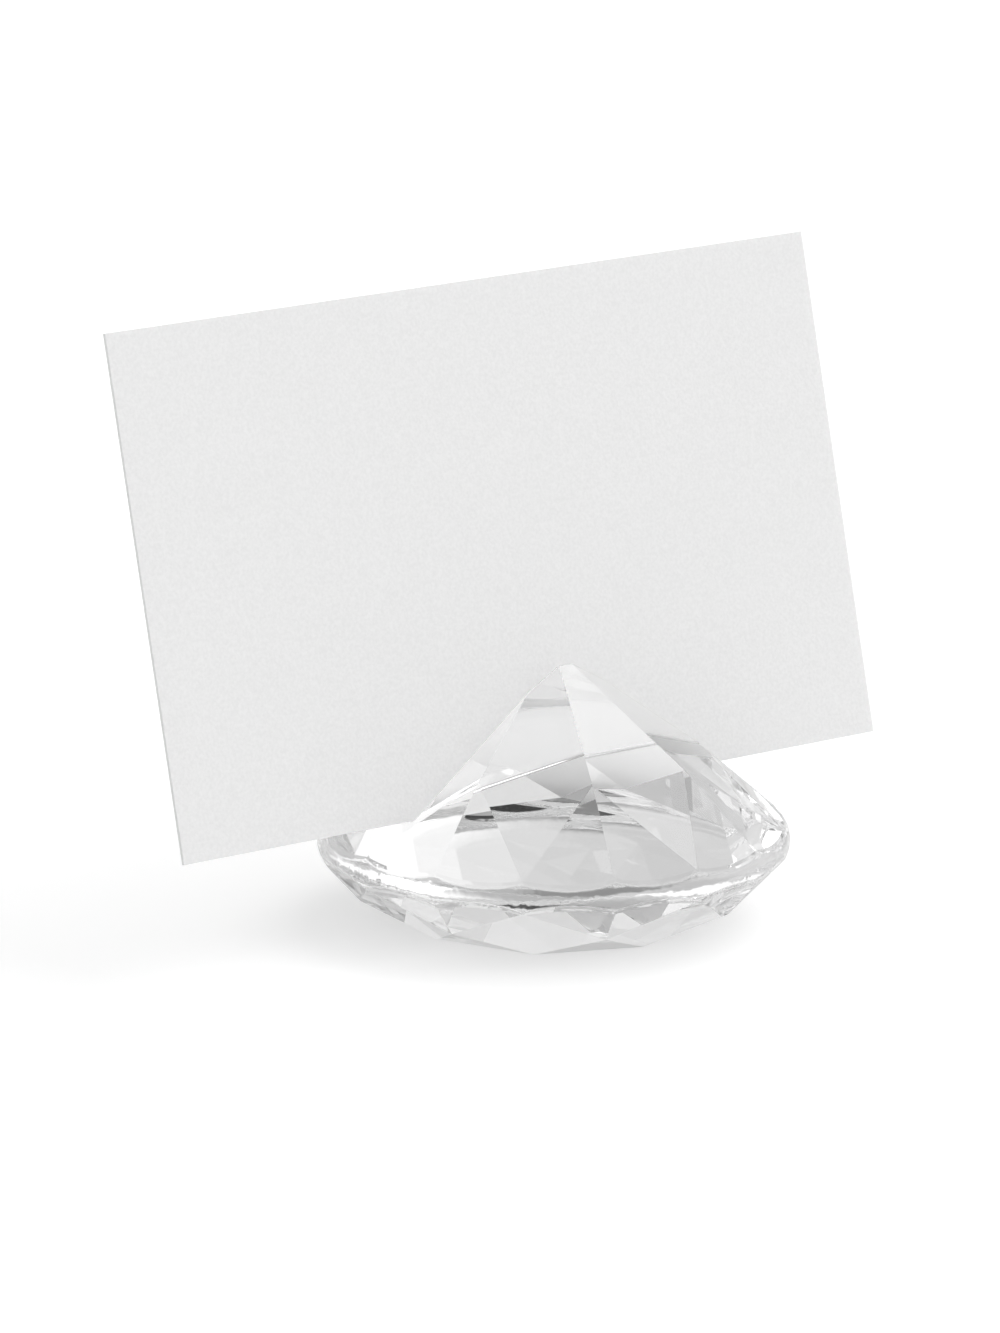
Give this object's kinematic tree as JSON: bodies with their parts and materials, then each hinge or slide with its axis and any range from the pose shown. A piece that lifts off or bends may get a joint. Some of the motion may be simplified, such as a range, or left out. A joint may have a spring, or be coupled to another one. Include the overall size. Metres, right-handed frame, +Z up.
{
  "type": "place card holder",
  "caption": "Place card holder: a clear round-brilliant gem standing on its table facet, slotted across the tip, with a blank card leaning back in the slot.",
  "frame": {"origin": "centre of the gem's table facet, on the surface that the holder stands on", "axes": "+Z up along the gem's axis; +X along the slot and the card's width; +Y to the back, the way the card leans"},
  "size_m": [0.09, 0.0494, 0.0662],
  "materials": {
    "clear_gem": "colourless, polished flat facets with crisp edges",
    "card_paper": "uncoated white card with a fine felt grain, blank"
  },
  "bodies": {
    "base": {"gem_base": "clear_gem"},
    "card": {"place_card": "card_paper"}
  },
  "joints": [
    {"name": "card_lift", "type": "slide", "parent": "base", "child": "card", "axis": [0, 0.2407, 0.9706], "range_m": [0, 0.03]}
  ]
}
